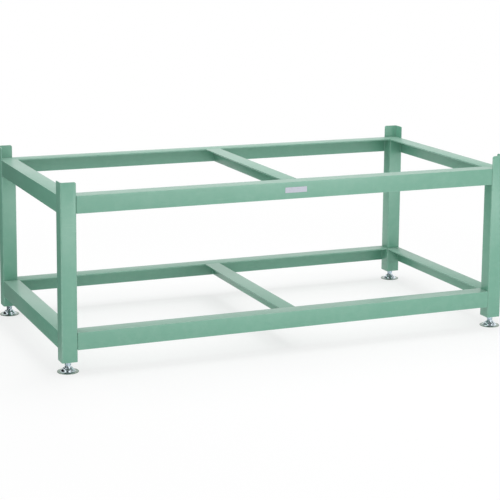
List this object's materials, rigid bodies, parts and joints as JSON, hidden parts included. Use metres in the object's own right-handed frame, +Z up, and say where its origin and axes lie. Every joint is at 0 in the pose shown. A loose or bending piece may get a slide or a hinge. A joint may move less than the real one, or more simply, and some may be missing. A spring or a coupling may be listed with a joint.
{
  "type": "surface plate stand",
  "caption": "Low welded stand of angle steel on square-tube legs, with corner stops around the plate's seat, a lower frame, cross bars and screw levelling feet.",
  "frame": {"origin": "on the floor, under the middle of the stand's length and depth, with the feet at their usual setting", "axes": "+X to the right along the long side, seen from the front where the name plate is; +Y from front to back; +Z up"},
  "size_m": [1.865, 0.95, 0.706],
  "materials": {
    "green_paint": "satin sage green paint",
    "bright_plating": "bright plating",
    "bare_steel": "bare machined steel",
    "pale_label": "pale lilac-white, plain"
  },
  "bodies": {
    "frame": {"leg_front_left": "green_paint", "leg_front_right": "green_paint", "leg_back_right": "green_paint", "leg_back_left": "green_paint", "top_rail_front": "green_paint", "top_rail_right": "green_paint", "top_rail_back": "green_paint", "top_rail_left": "green_paint", "top_cross_bar": "green_paint", "lower_rail_front": "green_paint", "lower_rail_right": "green_paint", "lower_rail_back": "green_paint", "lower_rail_left": "green_paint", "lower_cross_bar": "green_paint", "leg_end_plate_front_left": "bare_steel", "leg_end_plate_front_right": "bare_steel", "leg_end_plate_back_right": "bare_steel", "leg_end_plate_back_left": "bare_steel", "foot_nut_front_left": "bare_steel", "foot_nut_front_right": "bare_steel", "foot_nut_back_right": "bare_steel", "foot_nut_back_left": "bare_steel", "name_plate": "pale_label"},
    "pad_front_left": {"foot_pad_front_left": "bright_plating", "foot_base_disc_front_left": "bare_steel"},
    "pad_front_right": {"foot_pad_front_right": "bright_plating", "foot_base_disc_front_right": "bare_steel"},
    "pad_back_right": {"foot_pad_back_right": "bright_plating", "foot_base_disc_back_right": "bare_steel"},
    "pad_back_left": {"foot_pad_back_left": "bright_plating", "foot_base_disc_back_left": "bare_steel"},
    "stud_front_left": {"foot_stud_front_left": "bright_plating"},
    "stud_front_right": {"foot_stud_front_right": "bright_plating"},
    "stud_back_right": {"foot_stud_back_right": "bright_plating"},
    "stud_back_left": {"foot_stud_back_left": "bright_plating"}
  },
  "joints": [
    {"name": "foot_lift_front_left", "type": "slide", "parent": "frame", "child": "pad_front_left", "axis": [0, 0, -1], "range_m": [-0.018, 0.03]},
    {"name": "foot_lift_front_right", "type": "slide", "parent": "frame", "child": "pad_front_right", "axis": [0, 0, -1], "range_m": [-0.018, 0.03]},
    {"name": "foot_lift_back_right", "type": "slide", "parent": "frame", "child": "pad_back_right", "axis": [0, 0, -1], "range_m": [-0.018, 0.03]},
    {"name": "foot_lift_back_left", "type": "slide", "parent": "frame", "child": "pad_back_left", "axis": [0, 0, -1], "range_m": [-0.018, 0.03]},
    {"name": "foot_turn_front_left", "type": "hinge", "parent": "pad_front_left", "child": "stud_front_left", "pos_m": [-0.8925, -0.435, 0], "axis": [0, 0, -1], "range_deg": [-2160, 3600]},
    {"name": "foot_turn_front_right", "type": "hinge", "parent": "pad_front_right", "child": "stud_front_right", "pos_m": [0.8925, -0.435, 0], "axis": [0, 0, -1], "range_deg": [-2160, 3600]},
    {"name": "foot_turn_back_right", "type": "hinge", "parent": "pad_back_right", "child": "stud_back_right", "pos_m": [0.8925, 0.435, 0], "axis": [0, 0, -1], "range_deg": [-2160, 3600]},
    {"name": "foot_turn_back_left", "type": "hinge", "parent": "pad_back_left", "child": "stud_back_left", "pos_m": [-0.8925, 0.435, 0], "axis": [0, 0, -1], "range_deg": [-2160, 3600]}
  ],
  "couplings": [
    {"joint": "foot_turn_front_left", "follows": "foot_lift_front_left", "rad_per_m": 2094.4},
    {"joint": "foot_turn_front_right", "follows": "foot_lift_front_right", "rad_per_m": 2094.4},
    {"joint": "foot_turn_back_right", "follows": "foot_lift_back_right", "rad_per_m": 2094.4},
    {"joint": "foot_turn_back_left", "follows": "foot_lift_back_left", "rad_per_m": 2094.4}
  ]
}
